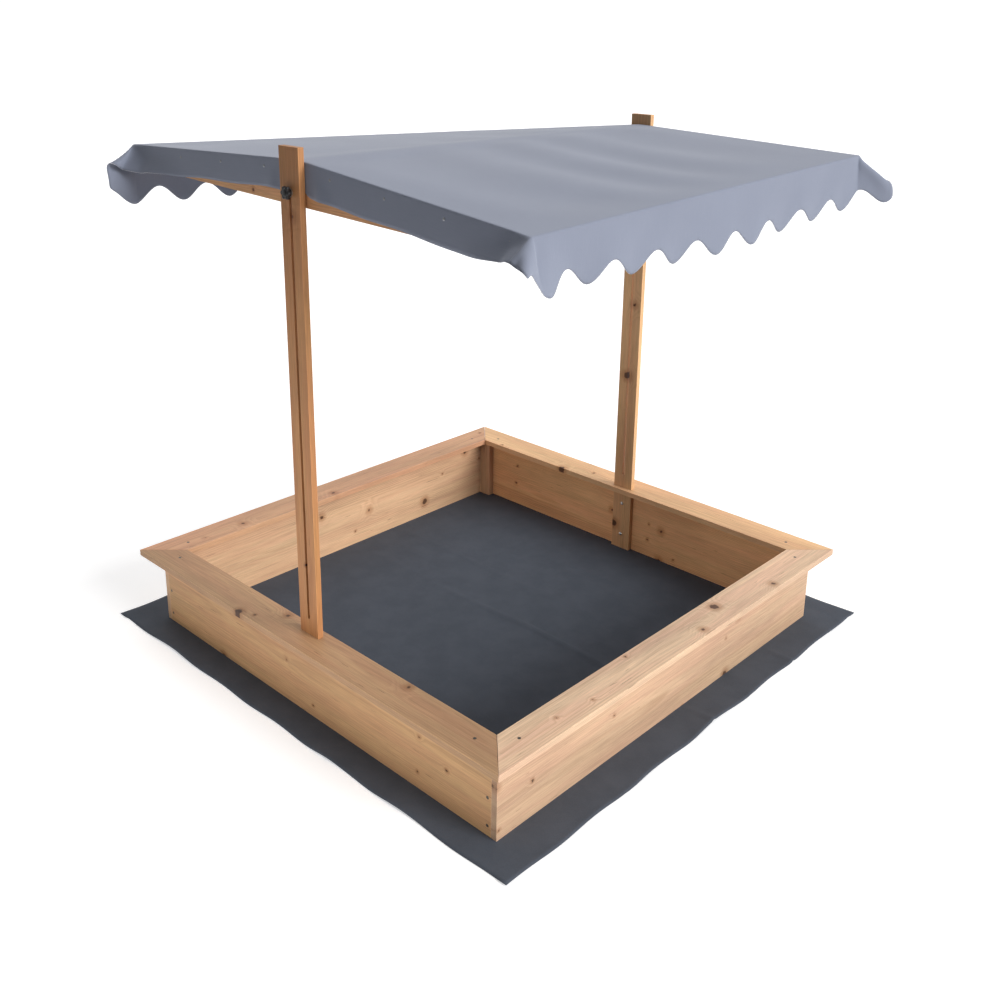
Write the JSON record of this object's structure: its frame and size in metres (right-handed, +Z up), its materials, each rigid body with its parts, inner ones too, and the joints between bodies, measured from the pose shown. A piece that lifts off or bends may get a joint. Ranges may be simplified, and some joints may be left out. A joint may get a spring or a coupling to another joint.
{
  "type": "sandbox with cover",
  "caption": "Square wooden sandbox with mitred seat boards, a ground sheet, slotted posts and a scalloped fabric canopy that lifts and tilts.",
  "frame": {"origin": "centre of the sandbox on the ground, at the underside of the ground sheet", "axes": "+Z up; X along the walls that carry the posts; -Y towards the front post"},
  "size_m": [1.3, 1.3, 1.2],
  "materials": {
    "fir": "sanded, unpainted",
    "ground_fabric": "matte woven sheet",
    "canopy_cloth": "matte plain weave",
    "steel": "zinc plated",
    "knob_plastic": "matte moulded",
    "insert_brass": "turned"
  },
  "bodies": {
    "root": {"ground_sheet": "ground_fabric", "front_wall": "fir", "back_wall": "fir", "left_wall": "fir", "right_wall": "fir", "front_left_block": "fir", "front_right_block": "fir", "back_left_block": "fir", "back_right_block": "fir", "front_seat": "fir", "back_seat": "fir", "left_seat": "fir", "right_seat": "fir", "front_post": "fir", "back_post": "fir", "wall_screws": "steel", "seat_screws": "steel", "post_screws": "steel"},
    "slider": {"front_washers": "steel", "back_washers": "steel"},
    "canopy": {"front_rail": "fir", "back_rail": "fir", "left_end_bar": "fir", "right_end_bar": "fir", "ridge_bar": "fir", "frame_screws": "steel", "canopy_fabric": "canopy_cloth", "fabric_tacks": "steel", "front_pivot_bolt": "steel", "back_pivot_bolt": "steel"},
    "front_star": {"front_knob": "knob_plastic", "front_knob_insert": "insert_brass"},
    "back_star": {"back_knob": "knob_plastic", "back_knob_insert": "insert_brass"}
  },
  "joints": [
    {"name": "canopy_lift", "type": "slide", "parent": "root", "child": "slider", "axis": [0, 0, 1], "range_m": [-0.63, 0]},
    {"name": "canopy_tilt", "type": "hinge", "parent": "slider", "child": "canopy", "pos_m": [0, 0, 1.116], "axis": [0, 1, 0], "range_deg": [-15, 15]},
    {"name": "front_knob_turn", "type": "hinge", "parent": "canopy", "child": "front_star", "pos_m": [0, -0.55, 1.116], "axis": [0, 1, 0], "continuous": true},
    {"name": "back_knob_turn", "type": "hinge", "parent": "canopy", "child": "back_star", "pos_m": [0, 0.55, 1.116], "axis": [0, 1, 0], "continuous": true}
  ]
}
